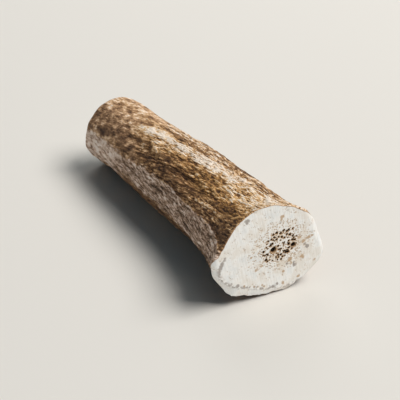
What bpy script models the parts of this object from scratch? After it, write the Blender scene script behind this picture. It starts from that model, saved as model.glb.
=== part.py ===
# A sawn length of elk antler, sold whole as a dog chew.
# It lies on its side along X. The large sawn end faces +X and the small one faces -X.
# Lengths are in metres and angles in degrees. A clock angle runs from +Y (0) through +Z (90) to -Y (180).
import math

import bmesh
import bpy
from mathutils import Matrix, Vector, noise

LENGTH = 0.138

# The shaft at hand-measured places along it:
# distance from the large end, radius, sideways offset of the centre line, lift of the underside
SHAFT = [
    (0.000, 0.0208, 0.0000, -0.0004),
    (0.030, 0.0202, 0.0003, 0.0008),
    (0.060, 0.0199, -0.0021, 0.0012),
    (0.095, 0.0191, -0.0064, 0.0012),
    (0.120, 0.0184, -0.0095, 0.0006),
    (0.138, 0.0180, -0.0115, -0.0007),
]

# The spread rim of the large end: clock angle, radius, width and depth of the ground-off edge,
# and how far back along the antler the spread fades
LARGE_RIM = [
    (0, 0.0264, 0.0030, 0.0022, 0.014),
    (30, 0.0242, 0.0022, 0.0016, 0.014),
    (60, 0.0228, 0.0010, 0.0008, 0.014),
    (90, 0.0238, 0.0007, 0.0006, 0.014),
    (120, 0.0240, 0.0007, 0.0006, 0.014),
    (150, 0.0234, 0.0007, 0.0006, 0.012),
    (180, 0.0263, 0.0022, 0.0020, 0.009),
    (210, 0.0246, 0.0026, 0.0030, 0.009),
    (240, 0.0248, 0.0068, 0.0032, 0.011),
    (270, 0.0242, 0.0052, 0.0028, 0.014),
    (300, 0.0266, 0.0024, 0.0018, 0.014),
    (330, 0.0304, 0.0026, 0.0020, 0.014),
]
SMALL_RIM_WIDTH = 0.0016
SMALL_RIM_DEPTH = 0.0014

# Long ridges (raised) and channels (sunk) that blood vessels left in the bark:
# clock angle at the large end, at the small end, half width in degrees, height, start and end distance
RIDGES = [
    (97, 107, 12, 0.0006, 0.020, 0.112),
    (66, 70, 34, 0.0011, 0.117, 0.160),
    (126, 136, 9, -0.0007, 0.020, 0.100),
    (76, 80, 8, -0.0008, 0.022, 0.095),
    (56, 52, 10, 0.0005, 0.010, 0.110),
    (26, 37, 11, -0.0009, 0.015, 0.108),
    (352, 366, 12, 0.0007, 0.005, 0.130),
    (322, 330, 9, -0.0008, 0.012, 0.090),
    (298, 300, 11, 0.0006, 0.030, 0.125),
    (236, 232, 10, 0.0005, 0.020, 0.110),
    (212, 206, 8, -0.0006, 0.015, 0.095),
]
RIDGE_FADE = 0.012

# A plate of smoother bark with a raised upper edge, on the side between two clock angles
PLATE_CLOCKS = (153, 188)
PLATE_HEIGHT = 0.0005
PLATE_UPPER_FADE = 5
PLATE_LOWER_FADE = 15
PLATE_END = 0.105

# Lumps and dents of the bark: height, length along the antler and width around it
LUMPS = [(0.0007, 0.026, 0.011), (0.0006, 0.011, 0.0055)]

# Open cells of the marrow in the large end: offset along Y and Z from the middle of the end, radius
MARROW_CELLS = [
    (0.0027, 0.0000, 0.00125),
    (0.0126, -0.0006, 0.00105),
    (0.0012, 0.0027, 0.00070),
    (0.0102, -0.0035, 0.00070),
    (0.0080, -0.0027, 0.00060),
    (0.0107, 0.0057, 0.00065),
    (0.0090, 0.0079, 0.00065),
    (0.0069, 0.0066, 0.00050),
    (0.0055, 0.0081, 0.00055),
    (0.0036, 0.0090, 0.00050),
    (0.0049, 0.0050, 0.00050),
    (0.0026, 0.0066, 0.00045),
    (0.0098, 0.0012, 0.00055),
    (0.0119, 0.0030, 0.00055),
    (0.0060, -0.0005, 0.00060),
    (0.0052, -0.0042, 0.00055),
    (0.0070, -0.0052, 0.00050),
    (-0.0008, -0.0045, 0.00060),
    (-0.0024, 0.0006, 0.00045),
    (-0.0022, -0.0020, 0.00045),
    (0.0090, -0.0056, 0.00040),
    (0.0002, -0.0018, 0.00040),
]
# The small end's marrow is a sunflower scatter of cells that shrink from the middle outwards
SMALL_CELL_COUNT = 15
SMALL_CELL_SPACING = 0.00155
SMALL_CELL_RADII = (0.00080, 0.00050)
SMALL_CELL_SHIFT = (-0.0010, 0.0008)
GOLDEN_ANGLE = math.pi * (3 - math.sqrt(5))

# Each cell is a tapered pit: its depth and its floor's radius, both as shares of its mouth's radius
CELL_DEPTH_SHARE = 2.6
CELL_FLOOR_SHARE = 0.55
CELL_SIDES = 7
CUTTER_CLEARANCE = 0.0003

AROUND = 64
ALONG = 50
RIM_STEPS = 3

SHARP_EDGE_ANGLE = 40
BARK_COLOUR = (0.26, 0.165, 0.095)
BARK_ROUGHNESS = 0.62
BONE_COLOUR = (0.80, 0.77, 0.70)
BONE_ROUGHNESS = 0.5


def clear_scene():
    for thing in list(bpy.data.objects):
        bpy.data.objects.remove(thing, do_unlink=True)


def smooth_value(knots, place, column):
    """A column of the knots at a place between them, on a smooth curve through every knot."""
    after = next((i for i in range(1, len(knots) - 1) if place <= knots[i][0]), len(knots) - 1)
    before = after - 1
    span = knots[after][0] - knots[before][0]
    t = (place - knots[before][0]) / span

    def slope(i):
        low = max(i - 1, 0)
        high = min(i + 1, len(knots) - 1)
        return (knots[high][column] - knots[low][column]) / (knots[high][0] - knots[low][0]) * span

    start, end = knots[before][column], knots[after][column]
    rise = t * t * (3 - 2 * t)
    return (start + (end - start) * rise
            + slope(before) * t * (1 - t) ** 2 - slope(after) * t * t * (1 - t))


def rim_value(clock, column):
    """A column of the large rim at a clock angle, on a smooth closed curve."""
    last = LARGE_RIM[-1]
    ring = [(last[0] - 360, *last[1:]), *LARGE_RIM]
    ring += [(row[0] + 360, *row[1:]) for row in LARGE_RIM[:2]]
    return smooth_value(ring, clock % 360, column)


def ease(value, low, high):
    t = min(max((value - low) / (high - low), 0), 1)
    return t * t * (3 - 2 * t)


def clock_gap(a, b):
    return abs((a - b + 180) % 360 - 180)


def relief(distance, clock):
    """Height of the bark over the smooth shaft: ridges, channels, the plate and the lumps."""
    height = 0
    for large_clock, small_clock, half_width, crest, start, end in RIDGES:
        middle = large_clock + (small_clock - large_clock) * distance / LENGTH
        across = math.exp(-(clock_gap(clock, middle) / half_width) ** 2)
        along = ease(distance, start - RIDGE_FADE, start + RIDGE_FADE)
        along *= 1 - ease(distance, end - RIDGE_FADE, end + RIDGE_FADE)
        height += crest * across * along
    low, high = PLATE_CLOCKS
    plate = ease(clock, low - PLATE_UPPER_FADE, low) * (1 - ease(clock, high, high + PLATE_LOWER_FADE))
    height += PLATE_HEIGHT * plate * (1 - ease(distance, PLATE_END - RIDGE_FADE, PLATE_END + RIDGE_FADE))
    angle = math.radians(clock)
    radius = SHAFT[0][1]
    for lump_height, length, width in LUMPS:
        spot = Vector((distance / length, radius * math.cos(angle) / width, radius * math.sin(angle) / width))
        height += lump_height * noise.noise(spot)
    return height


def section_centre(distance):
    """Middle of the cross-section, as Y and Z, before the antler is centred on its origin."""
    spread = rim_value(270, 1) - SHAFT[0][1]
    radius = smooth_value(SHAFT, distance, 1) + spread * math.exp(-distance / rim_value(270, 4))
    return smooth_value(SHAFT, distance, 2), radius + smooth_value(SHAFT, distance, 3)


def section_radius(distance, clock):
    """Radius of the bark, with the spread towards the large rim."""
    behind = max(distance - rim_value(clock, 3), 0)
    spread = (rim_value(clock, 1) - SHAFT[0][1]) * math.exp(-behind / rim_value(clock, 4))
    return smooth_value(SHAFT, distance, 1) + spread + relief(distance, clock)


def outline_point(ring, clock):
    """One point of the closed outline. Ring 0 edges the large sawn face and the last ring the small one."""
    last_ring = ALONG + 2 * RIM_STEPS
    large_width, large_depth = rim_value(clock, 2), rim_value(clock, 3)
    if ring < RIM_STEPS:
        turn = math.radians(90 * ring / RIM_STEPS)
        distance = large_depth * (1 - math.cos(turn))
        radius = section_radius(large_depth, clock) - large_width * (1 - math.sin(turn))
    elif ring > last_ring - RIM_STEPS:
        turn = math.radians(90 * (last_ring - ring) / RIM_STEPS)
        distance = LENGTH - SMALL_RIM_DEPTH * (1 - math.cos(turn))
        radius = section_radius(LENGTH - SMALL_RIM_DEPTH, clock) - SMALL_RIM_WIDTH * (1 - math.sin(turn))
    else:
        along = (ring - RIM_STEPS) / ALONG
        distance = large_depth + (LENGTH - SMALL_RIM_DEPTH - large_depth) * along
        radius = section_radius(distance, clock)
    middle_y, middle_z = section_centre(distance)
    angle = math.radians(clock)
    height = max(middle_z + radius * math.sin(angle), 0)
    return Vector((LENGTH / 2 - distance, middle_y + radius * math.cos(angle), height))


def plain_material(name, colour, roughness):
    material = bpy.data.materials.new(name)
    material.use_nodes = True
    shader = material.node_tree.nodes["Principled BSDF"]
    shader.inputs["Base Color"].default_value = (*colour, 1)
    shader.inputs["Roughness"].default_value = roughness
    shader.inputs["Metallic"].default_value = 0
    return material


def add_object(name, mesh):
    thing = bpy.data.objects.new(name, mesh)
    bpy.context.scene.collection.objects.link(thing)
    return thing


def make_antler():
    """The closed antler, a capped tube with its rings moved to the outline, and its shift onto the origin."""
    rings = ALONG + 2 * RIM_STEPS
    bm = bmesh.new()
    bmesh.ops.create_cone(bm, cap_ends=True, cap_tris=False, segments=AROUND, radius1=1, radius2=1, depth=2)
    long_edges = [edge for edge in bm.edges if abs(edge.verts[0].co.z - edge.verts[1].co.z) > 1]
    bmesh.ops.subdivide_edges(bm, edges=long_edges, cuts=rings - 1, use_grid_fill=True)
    for vert in bm.verts:
        ring = round((1 - vert.co.z) / 2 * rings)
        clock = math.degrees(math.atan2(vert.co.y, vert.co.x)) % 360
        vert.co = outline_point(ring, clock)
    sides = [vert.co.y for vert in bm.verts]
    shift = -(min(sides) + max(sides)) / 2
    bmesh.ops.translate(bm, verts=bm.verts, vec=(0, shift, 0))
    bmesh.ops.recalc_face_normals(bm, faces=bm.faces)
    for face in bm.faces:
        face.material_index = 1 if len(face.verts) == AROUND else 0
    mesh = bpy.data.meshes.new("antler")
    bm.to_mesh(mesh)
    bm.free()
    mesh.shade_smooth()
    mesh.set_sharp_from_angle(angle=math.radians(SHARP_EDGE_ANGLE))
    antler = add_object("antler", mesh)
    mesh.materials.append(plain_material("bark", BARK_COLOUR, BARK_ROUGHNESS))
    mesh.materials.append(plain_material("sawn_bone", BONE_COLOUR, BONE_ROUGHNESS))
    return antler, shift


def small_end_cells():
    middle_radius, outer_radius = SMALL_CELL_RADII
    shift_y, shift_z = SMALL_CELL_SHIFT
    cells = []
    for i in range(1, SMALL_CELL_COUNT + 1):
        reach = SMALL_CELL_SPACING * math.sqrt(i)
        turn = i * GOLDEN_ANGLE
        radius = middle_radius + (outer_radius - middle_radius) * i / SMALL_CELL_COUNT
        cells.append((shift_y + reach * math.cos(turn), shift_z + reach * math.sin(turn), radius))
    return cells


def marrow_cutter(shift):
    """Tapered pits for the open marrow cells of both sawn ends, as one hidden cutter."""
    bm = bmesh.new()
    ends = [(LENGTH / 2, 1, section_centre(0), MARROW_CELLS),
            (-LENGTH / 2, -1, section_centre(LENGTH), small_end_cells())]
    for face_x, outward, (middle_y, middle_z), cells in ends:
        face_turn = Matrix.Rotation(math.radians(90 * outward), 3, "Y")
        for cell_y, cell_z, radius in cells:
            height = CELL_DEPTH_SHARE * radius + CUTTER_CLEARANCE
            made = bmesh.ops.create_cone(
                bm, cap_ends=True, segments=CELL_SIDES, radius1=CELL_FLOOR_SHARE * radius, radius2=radius,
                depth=height)
            bmesh.ops.rotate(bm, verts=made["verts"], cent=(0, 0, 0), matrix=face_turn)
            face_gap = CUTTER_CLEARANCE - height / 2
            place = (face_x + outward * face_gap, middle_y + shift + cell_y, middle_z + cell_z)
            bmesh.ops.translate(bm, verts=made["verts"], vec=place)
    mesh = bpy.data.meshes.new("marrow_cutter")
    bm.to_mesh(mesh)
    bm.free()
    cutter = add_object("marrow_cutter", mesh)
    cutter.hide_render = True
    cutter.display_type = "WIRE"
    return cutter


def open_marrow(antler, cutter):
    cells = antler.modifiers.new("marrow_cells", "BOOLEAN")
    cells.operation = "DIFFERENCE"
    cells.solver = "EXACT"
    cells.object = cutter


def main():
    clear_scene()
    antler, shift = make_antler()
    open_marrow(antler, marrow_cutter(shift))


main()
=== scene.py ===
import math

import bmesh
import bpy
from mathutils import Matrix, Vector, noise


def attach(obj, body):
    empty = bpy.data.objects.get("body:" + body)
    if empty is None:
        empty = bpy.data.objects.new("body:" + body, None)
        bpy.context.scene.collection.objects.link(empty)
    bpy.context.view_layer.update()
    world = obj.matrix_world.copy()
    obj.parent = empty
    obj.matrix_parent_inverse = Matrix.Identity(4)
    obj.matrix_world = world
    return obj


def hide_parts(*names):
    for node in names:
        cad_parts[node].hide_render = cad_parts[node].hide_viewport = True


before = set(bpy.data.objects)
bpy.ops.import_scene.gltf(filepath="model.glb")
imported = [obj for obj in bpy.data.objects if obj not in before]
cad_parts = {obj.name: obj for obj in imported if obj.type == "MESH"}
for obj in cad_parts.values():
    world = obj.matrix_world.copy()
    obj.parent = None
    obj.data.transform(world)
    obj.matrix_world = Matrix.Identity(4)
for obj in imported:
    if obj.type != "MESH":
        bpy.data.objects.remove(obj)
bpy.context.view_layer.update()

# Lengths are in metres and clock angles in degrees: 0 is +Y, 90 is up and 180 is -Y.
# "Distance" is always measured along the antler from the large sawn face.
antler = {
    "length": 0.138,
    "sideShift": 0.00043,
    # distance, radius, sideways offset of the centre line, lift of the underside
    "shaft": [
        (0.000, 0.0208, 0.0000, -0.0004),
        (0.030, 0.0202, 0.0003, 0.0008),
        (0.060, 0.0199, -0.0021, 0.0012),
        (0.095, 0.0191, -0.0064, 0.0012),
        (0.120, 0.0184, -0.0095, 0.0006),
        (0.138, 0.0180, -0.0115, -0.0007),
    ],
    # clock, radius, width and depth of the ground-off edge, how far back the spread fades
    "largeRim": [
        (0, 0.0267, 0.0030, 0.0022, 0.014),
        (30, 0.0247, 0.0018, 0.0014, 0.014),
        (60, 0.0232, 0.0005, 0.0004, 0.014),
        (90, 0.0238, 0.0004, 0.0003, 0.014),
        (120, 0.0240, 0.0004, 0.0003, 0.014),
        (150, 0.0236, 0.0007, 0.0006, 0.013),
        (178, 0.0260, 0.0019, 0.0018, 0.013),
        (205, 0.0242, 0.0020, 0.0026, 0.010),
        (225, 0.0240, 0.0044, 0.0008, 0.010),
        (243, 0.0220, 0.0041, 0.0005, 0.011),
        (268, 0.0219, 0.0030, 0.0005, 0.014),
        (283, 0.0234, 0.0024, 0.0005, 0.014),
        (300, 0.0260, 0.0015, 0.0008, 0.014),
        (320, 0.0284, 0.0017, 0.0013, 0.014),
        (338, 0.0303, 0.0022, 0.0016, 0.014),
    ],
    # the large end's centre is this high, and drops to the shaft's over this length
    "largeCentre": 0.0242,
    "largeCentreFade": 0.014,
    "smallRimWidth": 0.0016,
    "smallRimDepth": 0.0014,
    # how flat the ground-off edges are: 0 is round, 1 is a chamfer, and the large one is flatter below
    "edgeFlatness": 0.25,
    "flatExtra": 0.65,
    "flatClocks": (176, 192, 296, 322),
    "smallFlatness": 0.4,
    # chips in the lower rim: clocks where they come and go, then height, step and number of each noise
    "chipClocks": (206, 222, 318, 334),
    "chips": [(0.0006, 8, 5.3), (0.0004, 3, 1.9)],
    # clocks where the bark covers the ground-off edge, and where grime lies beside it
    "barkClocks": (26, 46, 166, 178),
    "creaseClocks": (178, 192, 296, 312),
    "creaseWidths": (0.0011, 0.0006),
    "arcPerChord": 1.1,  # length of a ground-off edge's arc for its chord
    # distance from the border of bone and bark at the small end: bark's end, both sides of edge, face's rim
    "smallGaps": (0.0012, 0.0010, -0.0013, -0.0010),
    # corners of the large face stay soft up to this angle from +Y, seen from this height
    "softAngle": 48,
    "softHeight": 0.024,
    # within this of the sawn plane, a point and the middle of a face count as in it
    "flushPoint": 1e-6,
    "flushFace": 1e-5,
    # height, clock at the large end and at the small one, half width, start and end
    "ridges": [
        (0.0006, 97, 107, 12, 0.020, 0.112),
        (0.0011, 66, 70, 34, 0.117, 0.160),
        (-0.0007, 126, 136, 9, 0.020, 0.100),
        (-0.0008, 76, 80, 8, 0.022, 0.095),
        (0.0005, 56, 52, 10, 0.010, 0.110),
        (-0.0009, 26, 37, 11, 0.015, 0.108),
        (0.0007, 352, 366, 12, 0.005, 0.130),
        (-0.0008, 322, 330, 9, 0.012, 0.090),
        (0.0006, 298, 300, 11, 0.030, 0.125),
        (0.0005, 236, 232, 10, 0.020, 0.110),
        (-0.0006, 212, 206, 8, 0.015, 0.095),
        (-0.0018, 42, 42, 20, 0.070, 0.126),
        (0.0006, 48, 48, 18, -0.010, 0.014),
        (0.0006, 116, 116, 34, 0.124, 0.160),
    ],
    "ridgeFade": 0.012,
    "ridgeReach": 3,
    # the raised grey plate, whose upper edge climbs towards both ends and wanders
    "plateClocks": (153, 188),
    "plateSpan": (141, 206),
    "plateClimb": 9,
    "plateLevel": (0.0, 0.012, 0.070, 0.098),
    "plateWander": [(5.0, 0.010, 3.1), (3.0, 0.0034, 7.7)],
    "plateHeight": 0.0005,
    "plateFades": (2.5, 15),
    "plateEnd": 0.105,
    # noises of the bark: size, length, width, lean off the axis and number; creases are folded ones
    "lumps": [(0.0007, 0.026, 0.011), (0.0006, 0.011, 0.0055)],
    "reliefDrift": [(0.0010, 0.007, 0.004, -0.15, 17)],
    "reliefTurn": [(1.6, 0.006, 0.003, -0.15, 11)],
    "upperCreases": [(0.75, 0.0090, 0.0019, -0.15, 0), (0.55, 0.0042, 0.0012, -0.15, 5)],
    "upperWaves": [(0.40, 0.0024, 0.0009, -0.15, 9)],
    "lowerCreases": [(0.45, 0.0060, 0.0016, 0.15, 23)],
    "lowerWaves": [(0.50, 0.0036, 0.0010, 0.15, 27), (0.40, 0.0020, 0.0008, 0.15, 31)],
    "farWaves": [(0.50, 0.0036, 0.0028, -0.15, 41), (0.40, 0.0018, 0.0012, -0.15, 43)],
    "farShare": 0.7,
    "creaseFold": (2.4, 0.5),
    # a patch of the bark that is more rugged: distance in mm, clock and the reach of both
    "ruggedPatch": (72, 118, 34, 26),
    "ruggedLeast": 0.02,
    "ruggedExtra": 0.4,
    "ruggedTurn": [(4, 0.009, 0.005, 0, 53)],
    "ruggedCreases": [(1, 0.010, 0.0030, -0.1, 51)],
    "ruggedFold": (2.6, 0.55),
    # fine relief: its height, how much lower it lies, and how it calms on the plate, far off and at both ends
    "fineHeight": 0.00042,
    "fineSunk": 0.4,
    "plateCalm": 0.35,
    "farCalm": 0.4,
    "largeCalm": (-0.001, 0.0015),
    "smallCalm": (-0.001, 0.002),
    # lean of the material's grain on the upper and the lower bark
    "leans": (-0.15, 0.15),
    # how many rings of the mesh each zone gets
    "around": 320,
    "marrowRings": 58,
    "faceRings": 18,
    "edgeRings": 5,
    "shaftRings": 187,
    "smallEdgeRings": 4,
    "smallFaceRings": 34,
    "ringCrowding": 0.3,
    "marrowShare": 0.5,
    "faceCrowding": 1.3,
    "smallFaceCrowding": 1.35,
}

# The open marrow: offset along Y and Z from the middle of the end, and radius
marrow = {
    "largeMiddle": (0.0060, 0.0019),
    "largeReach": (0.0088, 0.0080),
    "smallMiddle": (-0.0010, 0.0008),
    "smallReach": (0.0066, 0.0062),
    "fadeSpan": (0.75, 2.3),
    "largeCells": [
        (0.0029, 0.0003, 0.00120), (0.0127, 0.0000, 0.00102), (0.0012, 0.0029, 0.00052),
        (0.0021, 0.0037, 0.00052), (0.0107, 0.0060, 0.00056), (0.0091, 0.0082, 0.00056),
        (0.0092, 0.0065, 0.00046), (0.0041, 0.0087, 0.00056), (0.0060, 0.0080, 0.00054),
        (0.0074, 0.0089, 0.00046), (0.0025, 0.0083, 0.00044), (0.0029, 0.0068, 0.00042),
        (0.0051, 0.0064, 0.00042), (0.0042, 0.0054, 0.00046), (0.0068, 0.0059, 0.00050),
        (0.0080, 0.0051, 0.00044), (0.0017, 0.0062, 0.00042), (0.0121, 0.0029, 0.00050),
        (0.0133, 0.0025, 0.00048), (0.0103, 0.0029, 0.00042), (0.0104, 0.0011, 0.00056),
        (0.0107, -0.0008, 0.00040), (0.0120, -0.0018, 0.00044), (0.0051, 0.0017, 0.00044),
        (0.0056, -0.0002, 0.00044), (0.0066, -0.0002, 0.00044), (0.0083, -0.0021, 0.00056),
        (0.0101, -0.0029, 0.00064), (0.0053, -0.0031, 0.00050), (0.0067, -0.0032, 0.00050),
        (0.0076, -0.0046, 0.00040), (0.0056, -0.0043, 0.00040), (0.0043, -0.0038, 0.00038),
        (0.0069, -0.0058, 0.00044), (-0.0006, -0.0038, 0.00054), (0.0001, -0.0049, 0.00040),
        (-0.0003, -0.0010, 0.00038), (-0.0020, 0.0010, 0.00042), (-0.0020, -0.0010, 0.00040),
        (0.0001, 0.0057, 0.00040), (0.0120, 0.0086, 0.00040), (0.0123, 0.0049, 0.00044),
        (-0.0006, 0.0027, 0.00034),
    ],
    "smallCellCount": 15,
    "smallCellSpacing": 0.00155,
    "smallCellRadii": (0.00080, 0.00050),
    "depthShare": 2.2,
    # shares of a cell's radius where its wall drops, where the bone beside it is stained, and beyond both
    "wallSpan": (0.92, 1.22),
    "closeSpan": (1.1, 2.0),
    "cellReach": 2.5,
    # cells are a little out of round: by how much, over which length, and the two rows of noise
    "wobble": 0.00022,
    "wobbleLength": 0.0007,
    "wobbleRows": (2, 9),
    "markReach": 3,  # radii of a mark of the face, past which it is gone
    "fineCells": 60,
    "fineRadii": (0.00020, 0.00034),
    "largeSeed": 4,
    "smallSeed": 8,
}

# Bands of the bark, pale above 0 and dark below: strength, clock at both ends, half width, start and end
barkBands = [
    (0.40, 74, 76, 22, -0.010, 0.060),
    (0.30, 70, 70, 18, 0.060, 0.100),
    (0.31, 76, 80, 30, 0.096, 0.150),
    (0.68, 80, 119, 7, 0.042, 0.098),
    (0.34, 100, 100, 9, -0.010, 0.033),
    (0.10, 116, 122, 11, 0.082, 0.108),
    (0.10, 119, 119, 5, 0.026, 0.048),
    (0.13, 137, 137, 5, 0.002, 0.038),
    (-0.22, 128, 130, 6, 0.010, 0.072),
    (-0.18, 137, 138, 5, 0.042, 0.080),
    (-0.18, 146, 145, 6, -0.010, 0.022),
    (-0.15, 145, 145, 8, 0.050, 0.126),
    (-0.20, 66, 68, 6, 0.030, 0.054),
    (-0.26, 86, 86, 5, 0.064, 0.092),
    (-0.16, 112, 112, 4, 0.030, 0.070),
    (0.12, 184, 184, 4, 0.030, 0.090),
    (0.34, 45, 45, 16, -0.010, 0.005),
    (0.14, 88, 88, 6, 0.020, 0.036),
    # these two darken the bark low on the side, where it turns down towards the floor: painted shade
    (-0.18, 197, 197, 8, 0.008, 0.052),
    (-0.19, 201, 201, 12, 0.024, 0.114),
    (-0.16, 79, 82, 9, 0.068, 0.110),
    (0.12, 80, 82, 14, -0.010, 0.036),
    (0.13, 105, 105, 5, 0.010, 0.036),
    (0.15, 97, 99, 5, 0.052, 0.080),
    (-0.13, 92, 92, 8, 0.112, 0.150),
    (-0.13, 128, 128, 6, 0.100, 0.145),
    (-0.13, 112, 112, 5, 0.060, 0.072),
    (-0.14, 128, 128, 5, 0.069, 0.083),
    (0.18, 92, 109, 11, 0.045, 0.098),
    (0.06, 94, 94, 8, 0.010, 0.040),
]

# What the bark's colours follow: spans are distances in mm or clocks, stripes are strength, clock, half width
barkTones = {
    "turnWaves": [(5, 0.012, 0.006, 0.1, 61)],
    "driftWaves": [(22, 0.016, 0.005, 0.1, 67)],
    "bandWaves": [(0.008, 0.020, 0.004, 0.1, 63)],
    "bandFade": 0.005,
    "bandReach": 2.5,
    "farSpan": (82, 106),
    # how ragged the edge of the grey plate's colour is, and where its lower side fades out
    "raggedLeast": 3,
    "raggedMore": 8,
    "raggedSpan": (50, 85),
    "raggedBelow": 0.7,
    "footShare": 0.9,
    "footSpan": (179, 199),
    "farPlateClocks": (158, 168, 192, 228),
    "farPlateSpan": (94, 114),
    "plateShade": 0.04,
    "farPlateShade": 0.26,
    "farShadeSpan": (90, 112),
    # painted highlight and painted shade along the plate's ledge, whose clocks are counted from it
    "ledgePaintedHighlight": (0.20, 0.9, 1.1),
    "ledgePaintedHighlightSpan": (3, 9, 76, 92),
    "ledgePaintedShade": (-0.14, -3, 2.2),
    "ledgePaintedShadeEnd": (78, 92),
    "goldCrest": (1, 112, 16),
    "goldDimmed": 0.35,
    "goldDimSpan": (35, 55),
    "goldEnd": (95, 112),
    "farGold": (0.3, 90, 9),
    "farGoldSpan": (55, 70),
    # strength, then distance, clock and the reach of both
    "goldPatches": [(0.6, 30, 120, 26, 14), (1.2, 8, 92, 24, 24)],
    # sides turned this far from the facing clock follow their own ridges, of about this height, and channels
    "facingClock": 125,
    "hiddenSpan": (84, 104),
    "ridgeHeight": 0.0007,
    "slowWaves": [(1, 0.030, 0.010, 0.05, 71)],
    "underWaves": [(1, 0.05, 0.016, 0, 77)],
    # their strength, how much the slow noise moves them, and where they are full
    "hiddenPale": (0.26, 0.5, 1.0),
    "hiddenDark": (0.20, 0.7, 0.9),
    "hiddenGold": 0.30,
    "hiddenGoldSpan": (-0.2, 0.4),
    "underSpan": (-0.05, 0.25),
    "underPlate": (0.8, 292, 30),
    "sidePlate": (0.55, 212, 16),
    # worn bark beside the large rim, and painted shade on the strip low down
    "rimPale": (0.35, 30, 24),
    "rimPaleEnd": (2, 7),
    "lowPaintedShade": (-0.15, 222, 13),
    "lowPaintedShadeEnd": (100, 124),
}

# Marks on the large sawn face, grey above 0 and brown below: offset along Y and Z, radius, strength
faceMarks = [
    (-0.0105, 0.0191, 0.0011, 0.9), (-0.0103, 0.0178, 0.0008, 0.6), (0.0059, 0.0135, 0.0016, 0.3),
    (0.0089, 0.0190, 0.0009, 0.4), (0.0064, 0.0165, 0.0009, -0.9), (0.0062, 0.0150, 0.0007, -0.7),
    (0.0130, 0.0165, 0.0007, -0.5), (0.0168, 0.0010, 0.0011, 0.3), (0.0198, -0.0030, 0.0009, 0.9),
    (0.0187, -0.0012, 0.0008, 0.6), (0.0203, 0.0018, 0.0010, -0.9), (0.0219, 0.0019, 0.0007, -0.8),
    (0.0176, 0.0004, 0.0010, -0.8), (0.0155, 0.0030, 0.0012, -0.5), (0.0173, -0.0074, 0.0010, -0.7),
    (0.0185, -0.0088, 0.0007, -0.6), (0.0139, -0.0110, 0.0009, 0.9), (0.0135, -0.0094, 0.0007, 0.6),
    (0.0101, -0.0093, 0.0007, 0.7), (0.0115, -0.0073, 0.0012, -0.7), (0.0119, -0.0090, 0.0009, -0.7),
    (0.0083, -0.0129, 0.0008, -0.9), (0.0081, -0.0143, 0.0006, -0.7), (0.0162, -0.0180, 0.0009, -0.6),
    (0.0086, -0.0191, 0.0008, -1.0), (0.0054, -0.0185, 0.0007, 0.9), (0.0035, -0.0195, 0.0008, 1.0),
    (-0.0010, -0.0176, 0.0006, -0.8), (-0.0018, -0.0168, 0.0006, -0.7), (-0.0058, -0.0163, 0.0006, -0.9),
    (-0.0042, -0.0168, 0.0005, -0.8), (-0.0110, -0.0144, 0.0006, -0.9), (-0.0141, -0.0131, 0.0008, 1.0),
    (-0.0173, -0.0110, 0.0007, 0.7), (-0.0080, -0.0002, 0.0006, -0.8), (-0.0086, -0.0045, 0.0005, -0.8),
    (-0.0048, -0.0078, 0.0012, -0.5), (-0.0024, -0.0063, 0.0008, -0.6), (-0.0205, 0.0036, 0.0007, 0.6),
    (-0.0210, 0.0024, 0.0008, 0.7), (-0.0216, 0.0012, 0.0009, 0.9), (-0.0221, 0.0000, 0.0009, 0.9),
    (-0.0226, -0.0012, 0.0009, 0.8), (-0.0231, -0.0025, 0.0009, 0.9), (-0.0230, -0.0040, 0.0007, 0.7),
    (-0.0221, -0.0080, 0.0008, 0.9), (0.0240, -0.0116, 0.0007, -0.7),
]


def smoothRow(knots, place):
    # every column of the knots at a place between them, on smooth curves through every knot
    after = 1
    while after < len(knots) - 1 and place > knots[after][0]:
        after += 1
    before = after - 1
    early, late = max(before - 1, 0), min(after + 1, len(knots) - 1)
    low, high, first, last = knots[before], knots[after], knots[early], knots[late]
    span = high[0] - low[0]
    t = (place - low[0]) / span
    rise, leave, arrive = t * t * (3 - 2 * t), t * (1 - t) ** 2 * span, t * t * (1 - t) * span
    leave /= high[0] - first[0]
    arrive /= last[0] - low[0]
    return [low[i] + (high[i] - low[i]) * rise + (high[i] - first[i]) * leave - (last[i] - low[i]) * arrive
            for i in range(1, len(low))]


def rimAt(clock):
    rim = antler["largeRim"]
    ring = [(rim[-1][0] - 360, *rim[-1][1:]), *rim] + [(row[0] + 360, *row[1:]) for row in rim[:2]]
    return smoothRow(ring, clock % 360)


def ease(value, low, high):
    t = min(max((value - low) / (high - low), 0), 1)
    return t * t * (3 - 2 * t)


def between(value, rise, full, fall, gone):
    return ease(value, rise, full) * (1 - ease(value, fall, gone))


def bump(value, middle, halfWidth):
    return math.exp(-((value - middle) / halfWidth) ** 2)


def stripe(clock, strength, middle, halfWidth):
    return strength * bump(clock, middle, halfWidth)


def clockGap(a, b):
    return abs((a - b + 180) % 360 - 180)


def patch(mm, clock, middleMm, middleClock, reachMm, reachClock):
    return math.exp(-((mm - middleMm) / reachMm) ** 2 - (clockGap(clock, middleClock) / reachClock) ** 2)


meanRadius = 0.020  # of the round bar that the bark's patterns are made for


def rolled(distance, clock, lean):
    # where a spot of the bark lies on that bar, so that patterns close up round it; lean winds them
    turn = math.radians(clock) + lean * distance / meanRadius
    return distance, meanRadius * math.cos(turn), meanRadius * math.sin(turn)


def barkNoise(distance, clock, along, across, lean=0.0, number=0):
    x, y, z = rolled(distance, clock, lean)
    return noise.noise((x / along + number, y / across + number, z / across))


def waves(distance, clock, table):
    return sum(size * barkNoise(distance, clock, *shape) for size, *shape in table)


def creases(distance, clock, table, fold):
    # folded noises, which leave narrow creases between their ridges
    steep, sunk = fold
    return sum(size * (steep * abs(barkNoise(distance, clock, *shape)) - sunk) for size, *shape in table)


def waver(value, table):
    return sum(size * noise.noise((value / step, number, 0)) for size, step, number in table)


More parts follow.
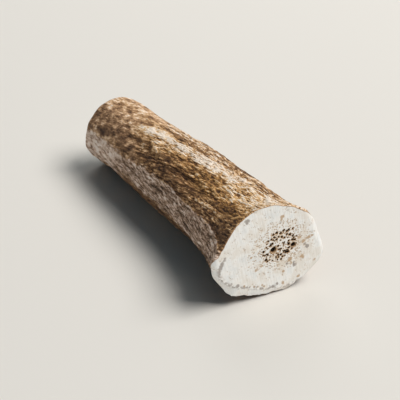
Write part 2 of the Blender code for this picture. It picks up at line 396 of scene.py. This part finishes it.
def bandSum(bands, distance, clock, along, fade, reach):
    # bands that run from one clock to another and fade in and out along the antler
    total = 0
    for strength, largeClock, smallClock, halfWidth, start, end in bands:
        gap = clockGap(clock, largeClock + (smallClock - largeClock) * distance / antler["length"])
        if gap < reach * halfWidth:
            share = between(along, start - fade, start + fade, end - fade, end + fade)
            total += strength * bump(gap, 0, halfWidth) * share
    return total


def ledgeClock(distance):
    # upper edge of the grey plate
    climb = antler["plateClimb"] * (1 - between(distance, *antler["plateLevel"]))
    return antler["plateClocks"][0] + climb + waver(distance, antler["plateWander"])


def coarseRelief(distance, clock):
    fade = antler["ridgeFade"]
    height = bandSum(antler["ridges"], distance, clock, distance, fade, antler["ridgeReach"])
    height += waves(distance, clock, antler["lumps"])
    first, last = antler["plateSpan"]
    if first < clock < last:
        sharp, soft = antler["plateFades"]
        edge, foot = ledgeClock(distance), antler["plateClocks"][1]
        plate = between(clock, edge - sharp, edge, foot, foot + soft)
        plate *= 1 - ease(distance, antler["plateEnd"] - fade, antler["plateEnd"] + fade)
        height += antler["plateHeight"] * plate
    return height


def fineRelief(distance, clock, plate, far):
    # short wavy ridges with narrow creases between them, running along the grain of the bark
    at = distance + waves(distance, clock, antler["reliefDrift"])
    turn = clock + waves(distance, clock, antler["reliefTurn"])
    fold = antler["creaseFold"]
    result = 0
    if plate < 1:
        upper = creases(at, turn, antler["upperCreases"], fold) + waves(at, turn, antler["upperWaves"])
        result += (1 - plate) * upper
    if plate > 0:
        lower = creases(at, turn, antler["lowerCreases"], fold) + waves(at, turn, antler["lowerWaves"])
        result += plate * lower
    if far > 0:
        result += (waves(at, turn, antler["farWaves"]) - result) * far * antler["farShare"]
    return result


def facingPaint(distance, clock, at, drift):
    # shade, gold and grey plate on the side that faces the camera
    tones = barkTones
    mm = distance * 1000
    wandering = distance + waves(distance, clock, tones["bandWaves"])
    shade = bandSum(barkBands, distance, at, wandering, tones["bandFade"], tones["bandReach"])
    edge = ledgeClock(distance)
    ragged = tones["raggedLeast"] + tones["raggedMore"] * ease(mm, *tones["raggedSpan"])
    plate = ease(clock, edge - ragged, edge + ragged * tones["raggedBelow"])
    plate *= 1 - tones["footShare"] * ease(at, *tones["footSpan"])
    plate = max(plate, between(at, *tones["farPlateClocks"]) * ease(drift, *tones["farPlateSpan"]))
    shade += plate * (tones["farPlateShade"] * ease(mm, *tones["farShadeSpan"]) + tones["plateShade"])
    # a painted highlight on the ledge's edge, and painted shade in the crevice just above it
    shade += stripe(clock - edge, *tones["ledgePaintedHighlight"]) * between(mm, *tones["ledgePaintedHighlightSpan"])
    shade += stripe(clock - edge, *tones["ledgePaintedShade"]) * (1 - ease(mm, *tones["ledgePaintedShadeEnd"]))
    gold = stripe(at, *tones["goldCrest"]) * (1 - tones["goldDimmed"] * ease(mm, *tones["goldDimSpan"]))
    gold *= 1 - ease(mm, *tones["goldEnd"])
    gold += stripe(at, *tones["farGold"]) * ease(mm, *tones["farGoldSpan"])
    gold += sum(strength * patch(mm, at, *place) for strength, *place in tones["goldPatches"])
    return shade, gold, plate


def hiddenPaint(distance, clock, coarse):
    # the same for the sides that face away from the camera
    tones = barkTones
    slow = waves(distance, clock, tones["slowWaves"])
    high = coarse / tones["ridgeHeight"]
    pale, paleSlow, paleFull = tones["hiddenPale"]
    dark, darkSlow, darkFull = tones["hiddenDark"]
    # paler on the ridges and darker in the channels: partly the bark's own tone, partly painted light and
    # shade on the relief
    shade = pale * ease(high + paleSlow * slow, 0.0, paleFull)
    shade -= dark * ease(-high + darkSlow * slow, 0.0, darkFull)
    gold = tones["hiddenGold"] * ease(slow, *tones["hiddenGoldSpan"])
    under = ease(waves(distance, clock, tones["underWaves"]), *tones["underSpan"])
    plate = under * stripe(clock, *tones["underPlate"]) + stripe(clock, *tones["sidePlate"])
    return shade, gold, plate


def barkPaint(distance, clock, coarse):
    # how pale, golden, lilac-grey and mottled the bark is
    tones = barkTones
    mm = distance * 1000
    at = clock + waves(distance, clock, tones["turnWaves"])
    drift = mm + waves(distance, clock, tones["driftWaves"])
    hidden = ease(clockGap(clock, tones["facingClock"]), *tones["hiddenSpan"])
    facing = facingPaint(distance, clock, at, drift) if hidden < 1 else (0, 0, 0)
    turned = hiddenPaint(distance, clock, coarse) if hidden > 0 else (0, 0, 0)
    shade, gold, plate = (near + (away - near) * hidden for near, away in zip(facing, turned))
    shade += stripe(clock, *tones["rimPale"]) * (1 - ease(mm, *tones["rimPaleEnd"]))
    # painted shade on the strip low down, where the bark faces the floor
    shade += stripe(clock, *tones["lowPaintedShade"]) * (1 - ease(mm, *tones["lowPaintedShadeEnd"]))
    return {"shade": shade, "gold": min(gold, 1), "lilac": plate, "mottle": ease(drift, *tones["farSpan"])}


zones = ("marrow", "face", "edge", "shaft", "smallEdge", "smallFace")
paints = ("edgeGap", "fine", "shade", "gold", "lilac", "mottle", "pit", "tan", "stain", "marrow", "crease")
poleShare = 1 + 1 / antler["smallFaceRings"]  # the small end's pole is one ring past its zone's last one


def ringPlace(ring):
    # zone of the mesh that a ring lies in, and how far across that zone it is
    start = 0
    for zone in zones:
        count = antler[zone + "Rings"]
        if ring <= start + count:
            return zone, (ring - start) / count
        start += count
    return "smallFace", poleShare


shaftStart = antler["shaft"][0][1]


def skinPoint(distance, clock, radius):
    # the spot at this radius round the curved centre line; nothing goes below the surface it lies on
    shaft = smoothRow(antler["shaft"], distance)
    rise = (antler["largeCentre"] - shaftStart) * math.exp(-distance / antler["largeCentreFade"])
    middle = shaft[0] + rise + shaft[2]
    angle = math.radians(clock)
    return Vector((antler["length"] / 2 - distance, shaft[1] + radius * math.cos(angle),
                   max(middle + radius * math.sin(angle), 0)))


def bareRadius(distance, rim):
    spread = (rim[0] - shaftStart) * math.exp(-max(distance - rim[2], 0) / rim[3])
    return smoothRow(antler["shaft"], distance)[0] + spread


def groundEdge(share, depth, width, flatness):
    # profile of a ground-off edge from the sawn face (0) to the bark (1)
    turn = share * math.pi / 2
    back = depth * (flatness * share + (1 - flatness) * (1 - math.cos(turn)))
    inward = width * (flatness * (1 - share) + (1 - flatness) * (1 - math.sin(turn)))
    return back, inward


def largeEdgePoint(share, clock, rim, radius):
    flatness = antler["edgeFlatness"] + antler["flatExtra"] * between(clock, *antler["flatClocks"])
    back, inward = groundEdge(share, rim[2], rim[1], flatness)
    return skinPoint(back, clock, radius - inward)


def smallEdgePoint(share, clock, radius):
    width, depth = antler["smallRimWidth"], antler["smallRimDepth"]
    back, inward = groundEdge(share, depth, width, antler["smallFlatness"])
    return skinPoint(antler["length"] - back, clock, radius - inward)


def sunflower(count, spacing, middle, radii):
    goldenAngle = math.pi * (3 - math.sqrt(5))
    cells = []
    for i in range(1, count + 1):
        reach, turn = spacing * math.sqrt(i), i * goldenAngle
        cells.append((middle[0] + reach * math.cos(turn), middle[1] + reach * math.sin(turn),
                      radii[0] + (radii[1] - radii[0]) * i / count))
    return cells


def fineCells(middle, reach, seed):
    # small cells scattered between the large ones
    noise.seed_set(seed)
    cells = []
    low, high = marrow["fineRadii"]
    for _ in range(marrow["fineCells"]):
        turn, share = noise.random() * 2 * math.pi, math.sqrt(noise.random())
        y, z = middle[0] + reach[0] * share * math.cos(turn), middle[1] + reach[1] * share * math.sin(turn)
        cells.append((y, z, low + (high - low) * noise.random()))
    return cells


def sawnEnds():
    # centre of each sawn face, the middle and reach of its marrow, and its open cells
    small = sunflower(marrow["smallCellCount"], marrow["smallCellSpacing"], marrow["smallMiddle"],
                      marrow["smallCellRadii"])
    ends = {}
    for name, distance, cells in (("large", 0, marrow["largeCells"]), ("small", antler["length"], small)):
        middle, reach = marrow[name + "Middle"], marrow[name + "Reach"]
        cells = cells + fineCells(middle, reach, marrow[name + "Seed"])
        ends[name] = (skinPoint(distance, 0, 0), middle, reach, cells)
    return ends


def openCells(y, z, cells):
    # depth of the open cells, how sunken and how close to one the spot is, the last two from 0 to 1
    step = marrow["wobbleLength"]
    wobbleY, wobbleZ = (marrow["wobble"] * noise.noise((y / step, z / step, row))
                        for row in marrow["wobbleRows"])
    depth, share, close = 0, 0, 0
    for cellY, cellZ, radius in cells:
        offY, offZ = y + wobbleY - cellY, z + wobbleZ - cellZ
        if max(abs(offY), abs(offZ)) < marrow["cellReach"] * radius:
            away = math.hypot(offY, offZ) / radius
            sunken = 1 - ease(away, *marrow["wallSpan"])
            depth = max(depth, radius * marrow["depthShare"] * sunken)
            share = max(share, sunken)
            close = max(close, 1 - ease(away, *marrow["closeSpan"]))
    return depth, share, close


def marksAt(y, z, tan):
    # grey and brown of the large face's marks, on top of the tan beside its cells
    grey = 0
    for markY, markZ, radius, strength in faceMarks:
        away = math.hypot(y - markY, z - markZ) / radius
        if away < marrow["markReach"]:
            mark = strength * math.exp(-away * away)
            grey, tan = max(grey, mark), max(tan, -mark)
    return grey, tan


def columnAt(clock):
    # what one line of points along the antler has in common
    rim = rimAt(clock)
    rim[0] += between(clock, *antler["chipClocks"]) * waver(clock, antler["chips"])
    start, end = rim[2], antler["length"] - antler["smallRimDepth"]
    coarse = coarseRelief(start, clock)
    largeRadius = bareRadius(start, rim) + coarse
    smallRadius = bareRadius(end, rim) + coarseRelief(end, clock)
    return {
        "clock": clock,
        "rim": rim,
        "start": start,
        "end": end,
        "largeRadius": largeRadius,
        "smallRadius": smallRadius,
        "largeEdge": largeEdgePoint(0, clock, rim, largeRadius),
        "smallEdge": smallEdgePoint(0, clock, smallRadius),
        "bared": 1 - between(clock, *antler["barkClocks"]),  # share of the ground-off edge that shows bone
        "arc": antler["arcPerChord"] * math.hypot(rim[1], start),
        "creased": between(clock, *antler["creaseClocks"]),
        "edgePaint": barkPaint(start, clock, coarse),
    }


def sawnPoint(zone, share, column, ends):
    # a spot of a sawn face, sunk where a cell is open; way is 0 in the marrow's middle and 1 at the rim
    if zone == "smallFace":
        name, outward, edge, hiddenArc = "small", -1, column["smallEdge"], -antler["smallGaps"][3]
        way = (1 - share / poleShare) ** antler["smallFaceCrowding"]
    else:
        name, outward, edge, hiddenArc = "large", 1, column["largeEdge"], column["bared"] * column["arc"]
        inner = antler["marrowShare"]
        if zone == "marrow":
            way = inner * share
        else:
            way = inner + (1 - inner) * (1 - (1 - share) ** antler["faceCrowding"])
    centre, middle, reach, cells = ends[name]
    poleY, poleZ = centre.y + middle[0], centre.z + middle[1]
    y, z = poleY + (edge.y - poleY) * way, poleZ + (edge.z - poleZ) * way
    offY, offZ = y - centre.y, z - centre.z
    depth, pit, close = openCells(offY, offZ, cells)
    inside = math.hypot((offY - middle[0]) / reach[0], (offZ - middle[1]) / reach[1])
    rest = math.hypot(edge.y - poleY, edge.z - poleZ) * (1 - way)
    paint = {"pit": pit, "tan": close, "marrow": 1 - ease(inside, *marrow["fadeSpan"])}
    paint["edgeGap"] = -1000 * (hiddenArc + rest)
    if name == "large":
        paint["stain"], paint["tan"] = marksAt(offY, offZ, close)
        paint["crease"] = bump(rest, 0, antler["creaseWidths"][0]) * column["creased"]
    return Vector((outward * (antler["length"] / 2 - depth), y, z)), paint


def edgePoint(zone, share, column):
    # a spot of a ground-off edge
    if zone == "smallEdge":
        barkSide, boneSide = antler["smallGaps"][1:3]
        place = smallEdgePoint(1 - share, column["clock"], column["smallRadius"])
        return place, {"edgeGap": 1000 * (barkSide + (boneSide - barkSide) * share)}
    place = largeEdgePoint(share, column["clock"], column["rim"], column["largeRadius"])
    paint = dict(column["edgePaint"])
    paint["edgeGap"] = 1000 * column["arc"] * (share - column["bared"])
    paint["crease"] = bump(share * column["arc"], 0, antler["creaseWidths"][1]) * column["creased"]
    return place, paint


def shaftPoint(share, column):
    # a spot of the bark, with its coarse and fine relief
    clock, start, end = column["clock"], column["start"], column["end"]
    distance = start + (end - start) * (share - antler["ringCrowding"] * share * (1 - share))
    coarse = coarseRelief(distance, clock)
    paint = barkPaint(distance, clock, coarse)
    far, lilac = paint["mottle"], paint["lilac"]
    rugged = patch(distance * 1000, clock, *antler["ruggedPatch"])
    fine = fineRelief(distance, clock, lilac, far) * (1 + antler["ruggedExtra"] * rugged)
    if rugged > antler["ruggedLeast"]:
        wavy = clock + waves(distance, clock, antler["ruggedTurn"])
        fine += rugged * creases(distance, wavy, antler["ruggedCreases"], antler["ruggedFold"])
    calm = ease(distance - start, *antler["largeCalm"]) * ease(end - distance, *antler["smallCalm"])
    raised = fine * (1 - antler["plateCalm"] * lilac) * (1 - antler["farCalm"] * far) - antler["fineSunk"]
    paint["fine"] = fine
    ahead = distance - start + column["arc"] * (1 - column["bared"])
    paint["edgeGap"] = 1000 * min(ahead, end - distance + antler["smallGaps"][0])
    radius = bareRadius(distance, column["rim"]) + coarse + antler["fineHeight"] * raised * calm
    return skinPoint(distance, clock, radius), paint


def crispCorners(bm):
    # the saw left crisp corners at both rims and round the open cells
    half = antler["length"] / 2
    for edge in bm.edges:
        if min(abs(vert.co.x) for vert in edge.verts) > half - antler["flushPoint"]:
            first = edge.verts[0].co
            angle = abs(math.degrees(math.atan2(first.z - antler["softHeight"], first.y)))
            flush = half - antler["flushFace"]
            leaves = any(abs(face.calc_center_median().x) < flush for face in edge.link_faces)
            if leaves and (first.x < 0 or angle > antler["softAngle"]):
                edge.smooth = False


def addObject(name, data):
    thing = bpy.data.objects.new(name, data)
    bpy.context.scene.collection.objects.link(thing)
    return thing


def addMesh(name, meshName, bm):
    mesh = bpy.data.meshes.new(meshName)
    bm.to_mesh(mesh)
    bm.free()
    return addObject(name, mesh)


def makeAntler():
    bm = bmesh.new()
    layers = {name: bm.verts.layers.float.new(name) for name in paints}
    grains = [(bm.verts.layers.float_vector.new(name), lean)
              for name, lean in zip(("grainUpper", "grainLower"), antler["leans"])]
    ringCount = sum(antler[zone + "Rings"] for zone in zones)
    around = antler["around"]
    bmesh.ops.create_uvsphere(bm, u_segments=around, v_segments=ringCount + 1, radius=1)
    ends = sawnEnds()
    columns = {}
    for vert in bm.verts:
        ring = round(math.atan2(math.hypot(vert.co.x, vert.co.y), vert.co.z) / math.pi * (ringCount + 1))
        key = round(math.atan2(vert.co.y, vert.co.x) / (2 * math.pi) * around) % around
        if key not in columns:
            columns[key] = columnAt(key * 360 / around)
        column = columns[key]
        zone, share = ringPlace(ring)
        if zone in ("marrow", "face", "smallFace"):
            vert.co, paint = sawnPoint(zone, share, column, ends)
        elif zone == "shaft":
            vert.co, paint = shaftPoint(share, column)
        else:
            vert.co, paint = edgePoint(zone, share, column)
        for name, value in paint.items():
            vert[layers[name]] = value
        for layer, lean in grains:
            vert[layer] = Vector(rolled(antler["length"] / 2 - vert.co.x, column["clock"], lean)) * 1000
    crispCorners(bm)
    bmesh.ops.translate(bm, verts=bm.verts, vec=(0, antler["sideShift"], 0))
    bmesh.ops.recalc_face_normals(bm, faces=bm.faces)
    return addMesh("antler_chew", "antlerChew", bm)


class Wire:
    # a node's output that plain Python maths works on
    def __init__(self, maker, socket):
        self.maker = maker
        self.socket = socket

    def math(self, operation, *others):
        return self.maker.add("ShaderNodeMath", {"operation": operation}, dict(enumerate((self, *others))))

    def __add__(self, other):
        return self.math("ADD", other)

    def __mul__(self, other):
        return self.math("MULTIPLY", other)

    def __sub__(self, other):
        return self.math("SUBTRACT", other)

    def __rsub__(self, other):
        return self.maker.add("ShaderNodeMath", {"operation": "SUBTRACT"}, {0: other, 1: self})

    __radd__ = __add__
    __rmul__ = __mul__

    def most(self, other):
        return self.math("MAXIMUM", other)

    def least(self, other):
        return self.math("MINIMUM", other)

    def size(self):
        return self.math("ABSOLUTE")

    def ease(self, low, high):
        inputs = {"Value": self, "From Min": low, "From Max": high}
        return self.maker.add("ShaderNodeMapRange", {"interpolation_type": "SMOOTHSTEP"}, inputs)


class Finish:
    # the nodes of a new material or world, with one method that adds any node
    def __init__(self, owner):
        owner.use_nodes = True
        self.owner = owner
        self.tree = owner.node_tree
        self.tree.nodes.clear()

    def add(self, kind, settings=None, inputs=None, output=0):
        node = self.tree.nodes.new(kind)
        for key, value in (settings or {}).items():
            if key == "stops":
                ramp = node.color_ramp
                while len(ramp.elements) < len(value):
                    ramp.elements.new(0.5)
                for element, (place, colour) in zip(ramp.elements, value):
                    element.position = place
                    element.color = (*colour, 1)
            else:
                setattr(node, key, value)
        for key, value in (inputs or {}).items():
            if isinstance(value, Wire):
                self.tree.links.new(value.socket, node.inputs[key])
            else:
                node.inputs[key].default_value = value
        return Wire(self, node.outputs[output]) if node.outputs else None

    def value(self, name):
        return self.add("ShaderNodeAttribute", {"attribute_name": name}, output="Fac")

    def vector(self, name):
        return self.add("ShaderNodeAttribute", {"attribute_name": name}, output="Vector")

    def mix(self, share, first, second):
        first, second = ((*c, 1) if isinstance(c, tuple) else c for c in (first, second))
        return self.add("ShaderNodeMix", {"data_type": "RGBA"}, {0: share, 6: first, 7: second}, output=2)

    def stretched(self, where, scale):
        return self.add("ShaderNodeMapping", {}, {"Vector": where, "Scale": scale})

    def clouds(self, where, scale=1.0, detail=3.0, roughness=0.55):
        inputs = {"Vector": where, "Scale": scale, "Detail": detail, "Roughness": roughness}
        return self.add("ShaderNodeTexNoise", {}, inputs)

    def grained(self, where, name):
        scale, detail, roughness = barkLook[name]
        return self.clouds(self.stretched(where, scale), 1.0, detail, roughness)

    def ramp(self, value, stops):
        return self.add("ShaderNodeValToRGB", {"stops": stops}, {0: value})


barkLook = {
    # patterns that follow the grain: scale per mm along it and across it, detail, roughness
    "crumbs": ((0.33, 1.10, 1.10), 3.0, 0.62),
    "strokes": ((0.26, 1.05, 1.05), 3.0, 0.62),
    "cracks": ((0.14, 0.62, 0.62), 2.0, 0.60),
    "paintedGlints": ((0.30, 1.40, 1.40), 1.0, 0.55),
    "streaks": ((0.055, 0.48, 0.48), 3.0, 0.55),
    "patches": ((0.13, 0.26, 0.26), 1.0, 0.55),
    "blotches": ((0.24, 0.34, 0.34), 3.0, 0.55),
    "freckles": ((0.8, 1.2, 1.2), 2.0, 0.55),
    "chinks": (0.45, 0.95, 0.95),
    # values of the patterns where each starts to show and is full
    "lilacSpan": (0.30, 0.70),
    "crackSpan": (0.0, 0.05),
    "paintedGlintSpan": (0.56, 0.68),
    "patchSpan": (0.44, 0.60),
    "chinkSpan": (0.02, 0.20),
    # places on the colour ramps where plain brown and plain grey bark lie, before rampShare
    "brownTone": 0.575,
    "greyTone": 0.68,
    "rampShare": 0.8,
    "brown": [
        (0.00, (0.045, 0.016, 0.004)),
        (0.14, (0.100, 0.041, 0.012)),
        (0.27, (0.172, 0.079, 0.027)),
        (0.40, (0.270, 0.133, 0.050)),
        (0.53, (0.435, 0.234, 0.096)),
        (0.66, (0.670, 0.398, 0.188)),
        (0.80, (0.880, 0.618, 0.385)),
        (1.00, (0.950, 0.790, 0.640)),
    ],
    "gold": [
        (0.00, (0.050, 0.018, 0.004)),
        (0.14, (0.112, 0.045, 0.012)),
        (0.27, (0.208, 0.094, 0.024)),
        (0.40, (0.350, 0.165, 0.042)),
        (0.53, (0.550, 0.275, 0.084)),
        (0.66, (0.760, 0.440, 0.175)),
        (0.80, (0.885, 0.630, 0.370)),
        (1.00, (0.950, 0.790, 0.630)),
    ],
    "lilac": [
        (0.00, (0.045, 0.024, 0.013)),
        (0.20, (0.145, 0.083, 0.046)),
        (0.40, (0.297, 0.185, 0.118)),
        (0.60, (0.500, 0.335, 0.240)),
        (0.80, (0.750, 0.565, 0.445)),
        (1.00, (0.900, 0.760, 0.660)),
    ],
    "rust": (0.52, 0.28, 0.12),
    "rustShare": 0.6,
    "rustSpan": (0.10, 0.50),
    "roughness": 0.68,
    "leastRoughness": 0.38,
}
boneLook = {
    "ivory": (0.865, 0.840, 0.795),
    "warm": (0.740, 0.660, 0.560),
    "cool": (0.730, 0.735, 0.715),
    "cellWall": (0.330, 0.185, 0.085),
    # painted shade: the near-black floor of the open cells
    "paintedCellShade": (0.016, 0.009, 0.005),
    "amber": (0.460, 0.290, 0.150),
    "grime": (0.300, 0.252, 0.215),
    "sawLine": (0.560, 0.510, 0.430),
    "roughness": 0.46,
    # where each of its tints starts to show and is full, and how strong it gets
    "warmSpan": (0.46, 0.62),
    "coolSpan": (0.34, 0.50),
    "coolShare": 0.60,
    "sawSpan": (0.28, 0.58),
    "sawShare": 0.24,
    "dotSpan": (0.22, 0.52),
    "speckSpan": (0.79, 0.99),
    "edgeSpan": (0.0, 0.3),
    "tanSpan": (0.16, 0.86),
    "stainSpan": (0.20, 0.88),
    "creaseSpan": (0.42, 0.56),
    "markShare": 0.85,
    "wallSpan": (0.02, 0.14),
    "cellShadeSpan": (0.16, 0.46),
    # scales of its patterns, and the saw lines' tilt and scale across and along them
    "clouds": 150.0,
    "dots": 1050.0,
    "rareSpots": 420.0,
    "brokenEdges": 700.0,
    "sawTilt": 12,
    "sawScale": (1300, 110),
}
surface = {
    "borderWidth": 0.07,  # mm to both sides of where bone and bark meet
    "reliefDepth": 0.00045,
    "refraction": 1.43,
}


def barkLayer(make, edgeGap):
    # colour, roughness, relief and crumbs of the bark
    look = barkLook
    fine, shade = make.value("fine"), make.value("shade")
    gold, lilac, mottle = make.value("gold"), make.value("lilac"), make.value("mottle")
    upper, lower = make.vector("grainUpper"), make.vector("grainLower")

    # crumbs and short strokes that follow the grain, dark cracks and chinks, pale glints painted into the
    # colour as highlights and raised in the relief, slow blotches
    crumbs, strokes = make.grained(upper, "crumbs"), make.grained(lower, "strokes")
    lilac = (lilac + (strokes - 0.5) * 1.25).ease(*look["lilacSpan"])
    grain = crumbs + (strokes - crumbs) * lilac
    crack = 1 - (make.grained(upper, "cracks") - 0.5).size().ease(*look["crackSpan"])
    crack = crack * (1 - 0.6 * lilac) * (1 - 0.6 * mottle)
    paintedGlint = make.grained(upper, "paintedGlints").ease(*look["paintedGlintSpan"])
    streaks = make.grained(upper, "streaks")
    cells = make.add("ShaderNodeTexVoronoi", {"feature": "DISTANCE_TO_EDGE"},
                     {"Vector": make.stretched(upper, look["chinks"]), "Scale": 1.0})
    patchy = make.grained(upper, "patches").ease(*look["patchSpan"])
    chink = (1 - (cells + (crumbs - 0.5) * 0.25).ease(*look["chinkSpan"])) * (0.35 + 0.65 * patchy)
    chink = chink * (1 - 0.7 * mottle) * (1 - 0.35 * lilac)
    blotch = make.grained(upper, "blotches")
    freckles = make.grained(upper, "freckles")
    near = 1 - 0.40 * mottle
    height = fine * 0.48 + (grain - 0.5) * 4.5 * near * (1 - 0.22 * lilac) - crack * 0.95 - chink * 0.34

    # the tone follows the relief, darker in cracks, chinks and low spots and paler on crests: partly the
    # bark's own grain, partly painted shade and light on the relief
    tone = look["brownTone"] - 0.06 * mottle + height * (0.42 + 0.44 * shade - 0.26 * mottle)
    # painted highlight: the glints lighten the tone
    tone = tone + paintedGlint * 0.27 * near + (blotch - 0.5) * (0.75 + 1.50 * mottle)
    tone = tone + (streaks - 0.5) * (1.4 + 1.5 * shade) * (1 - 0.6 * mottle)
    tone = (tone + (freckles - 0.5) * 0.55 * mottle + shade * 1.05) * look["rampShare"]
    greyTone = look["greyTone"] + height * 0.92 + paintedGlint * 0.10 + (blotch - 0.5) * (0.9 + 2.0 * mottle)
    greyTone = (greyTone + (streaks - 0.5) * 0.7 * (1 - mottle) + shade * 1.1) * look["rampShare"]
    brown = make.mix(gold.least(1.0), make.ramp(tone, look["brown"]), make.ramp(tone, look["gold"]))
    brown = make.mix((mottle * 0.28 - shade * 0.3).most(0.0), brown, make.ramp(tone, look["lilac"]))
    grey = make.ramp(greyTone, look["lilac"])
    bark = make.mix(lilac * (0.90 + 0.5 * (blotch - 0.5)), brown, grey)
    bark = make.mix((1 - edgeGap.ease(*look["rustSpan"])) * look["rustShare"], bark, look["rust"])
    roughness = (look["roughness"] - height * 0.12 - shade * 0.20).most(look["leastRoughness"])
    relief = (grain * 3.2 + paintedGlint * 0.35 - crack * 0.45 - chink * 0.45) * near
    return bark, roughness, relief, crumbs


def boneLayer(make):
    # colour and relief of the sawn bone
    look = boneLook
    pit, stain, tan = make.value("pit"), make.value("stain"), make.value("tan")
    inMarrow, crease = make.value("marrow"), make.value("crease")
    where = make.add("ShaderNodeTexCoord", output="Object")

    # ivory with warm and cool clouds, saw lines, and tiny brown specks that are thickest in the marrow
    cloudy = make.clouds(where, look["clouds"], 5.0, 0.62)
    across, along = look["sawScale"]
    tilt = math.radians(look["sawTilt"])
    lines = {"Vector": where, "Rotation": (tilt, 0, 0), "Scale": (1.0, 1 / across, 1 / along)}
    saw = make.clouds(make.add("ShaderNodeMapping", {"vector_type": "TEXTURE"}, lines), detail=3.0)
    warmth = (cloudy.ease(*look["warmSpan"]) * (0.50 + 0.45 * inMarrow) + inMarrow * 0.15).least(1.0)
    bone = make.mix(warmth, look["ivory"], look["warm"])
    bone = make.mix((1 - cloudy.ease(*look["coolSpan"])) * look["coolShare"], bone, look["cool"])
    bone = make.mix((1 - saw.ease(*look["sawSpan"])) * look["sawShare"], bone, look["sawLine"])
    dots = make.add("ShaderNodeTexVoronoi", {"feature": "F1"}, {"Vector": where, "Scale": look["dots"]})
    rare = make.clouds(where, look["rareSpots"], 2.0)
    speck = (1 - dots.ease(*look["dotSpan"])) * (rare * 1.5 + inMarrow * 0.40).ease(*look["speckSpan"])
    bone = make.mix(speck * (0.42 + 0.52 * inMarrow), bone, look["amber"])

    # tan beside the cells and in brown marks, grime in grey marks and the crease, and the cells themselves
    # with their floors painted near black as shade
    broken = make.clouds(where, look["brokenEdges"], 2.0)
    most, edgeSpan = look["markShare"], look["edgeSpan"]
    amber = (tan * 1.5 + tan.ease(*edgeSpan) * (broken - 0.5) * 2.2).ease(*look["tanSpan"])
    bone = make.mix(amber * most, bone, look["amber"])
    rim = crease * (1 - broken.ease(*look["creaseSpan"]))
    mark = (stain * 1.6 + stain.ease(*edgeSpan) * (broken - 0.5) * 2.0).ease(*look["stainSpan"])
    bone = make.mix((rim * most).most(mark * most), bone, look["grime"])
    bone = make.mix(pit.ease(*look["wallSpan"]), bone, look["cellWall"])
    bone = make.mix(pit.ease(*look["cellShadeSpan"]), bone, look["paintedCellShade"])
    return bone, saw * 0.32 + cloudy * 0.10 - speck * 0.3


def antlerFinish():
    make = Finish(bpy.data.materials.new("barkAndSawnBone"))
    edgeGap = make.value("edgeGap")
    bark, barkRoughness, barkRelief, crumbs = barkLayer(make, edgeGap)
    bone, boneRelief = boneLayer(make)
    border, boneRoughness = surface["borderWidth"], boneLook["roughness"]
    onBark = (edgeGap + (crumbs - 0.5) * 0.8).ease(-border, border)
    relief = boneRelief + (barkRelief - boneRelief) * onBark
    bumps = {"Strength": 1.0, "Distance": surface["reliefDepth"], "Height": relief}
    shader = make.add("ShaderNodeBsdfPrincipled", {}, {
        "Base Color": make.mix(onBark, bone, bark),
        "Roughness": boneRoughness + (barkRoughness - boneRoughness) * onBark,
        "Normal": make.add("ShaderNodeBump", {}, bumps),
        "IOR": surface["refraction"],
    })
    make.add("ShaderNodeOutputMaterial", {}, {"Surface": shader})
    return make.owner


studio = {
    "camera": (0.3616, -0.1794, 0.2734),
    "azimuth": 63.2,
    "elevation": 33.1,
    "lens": 90,
    "sensor": 36,
    "floor": (0.776, 0.730, 0.663),
    "floorReach": 3,
    "floorRoughness": 0.9,
    "floorGloss": 0.1,
    # lamps: where they stand, width and height, power, and whether the floor gets their light
    "lamps": {
        "key": ((1.216, 1.946, 3.277), (2.5, 1.9), 171.0, True),
        "back": ((-0.8, 0.4, 0.8), (0.8, 0.8), 3.0, True),
        "front": ((0.62, -0.42, 0.46), (0.5, 0.5), 2.25, False),
    },
    "ambient": (0.058, 0.083, 0.102),
    "backdrop": (0.80, 0.78, 0.74),
}


def floorFinish():
    make = Finish(bpy.data.materials.new("paleFloor"))
    shader = make.add("ShaderNodeBsdfPrincipled", {}, {
        "Base Color": (*studio["floor"], 1),
        "Roughness": studio["floorRoughness"],
        "Specular IOR Level": studio["floorGloss"],
    })
    make.add("ShaderNodeOutputMaterial", {}, {"Surface": shader})
    return make.owner


def makeFloor():
    bm = bmesh.new()
    bmesh.ops.create_grid(bm, x_segments=1, y_segments=1, size=studio["floorReach"])
    floor = addMesh("floor", "floor", bm)
    floor.data.materials.append(floorFinish())


def makeLamps(piece):
    for name, (place, (width, height), power, everywhere) in studio["lamps"].items():
        light = bpy.data.lights.new(name, "AREA")
        light.energy = power
        light.shape = "RECTANGLE"
        light.size = width
        light.size_y = height
        lamp = addObject(name, light)
        lamp.location = place
        lamp.rotation_euler = Vector(place).to_track_quat("Z", "Y").to_euler()
        if not everywhere:
            # neither this lamp's own light nor its bounce off the bone reaches the floor
            light.cycles.max_bounces = 0
            lit = bpy.data.collections.new(name + "Lit")
            lit.objects.link(piece)
            lamp.light_linking.receiver_collection = lit


def makeAir():
    # the room's soft light, and the pale backdrop that the camera sees
    make = Finish(bpy.data.worlds.new("studioAir"))
    seen = make.add("ShaderNodeLightPath", output="Is Camera Ray")
    colour = make.mix(seen, studio["ambient"], studio["backdrop"])
    background = make.add("ShaderNodeBackground", {}, {"Color": colour})
    make.add("ShaderNodeOutputWorld", {}, {"Surface": background})
    bpy.context.scene.world = make.owner


def makeCamera():
    lens = bpy.data.cameras.new("camera")
    lens.lens = studio["lens"]
    lens.sensor_width = studio["sensor"]
    camera = addObject("camera", lens)
    camera.location = studio["camera"]
    side, up = math.radians(studio["azimuth"]), math.radians(studio["elevation"])
    back = Vector((math.sin(side) * math.cos(up), -math.cos(side) * math.cos(up), math.sin(up)))
    camera.rotation_euler = (-back).to_track_quat("-Z", "Y").to_euler()
    bpy.context.scene.camera = camera


print("shaping the antler")
chew = makeAntler()
print("antler:", len(chew.data.vertices), "points")
chew.data.materials.append(antlerFinish())
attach(chew, "root")
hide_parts("antler")
print("setting up the studio")
bpy.context.scene.view_settings.view_transform = "Standard"
makeFloor()
makeLamps(chew)
makeAir()
makeCamera()
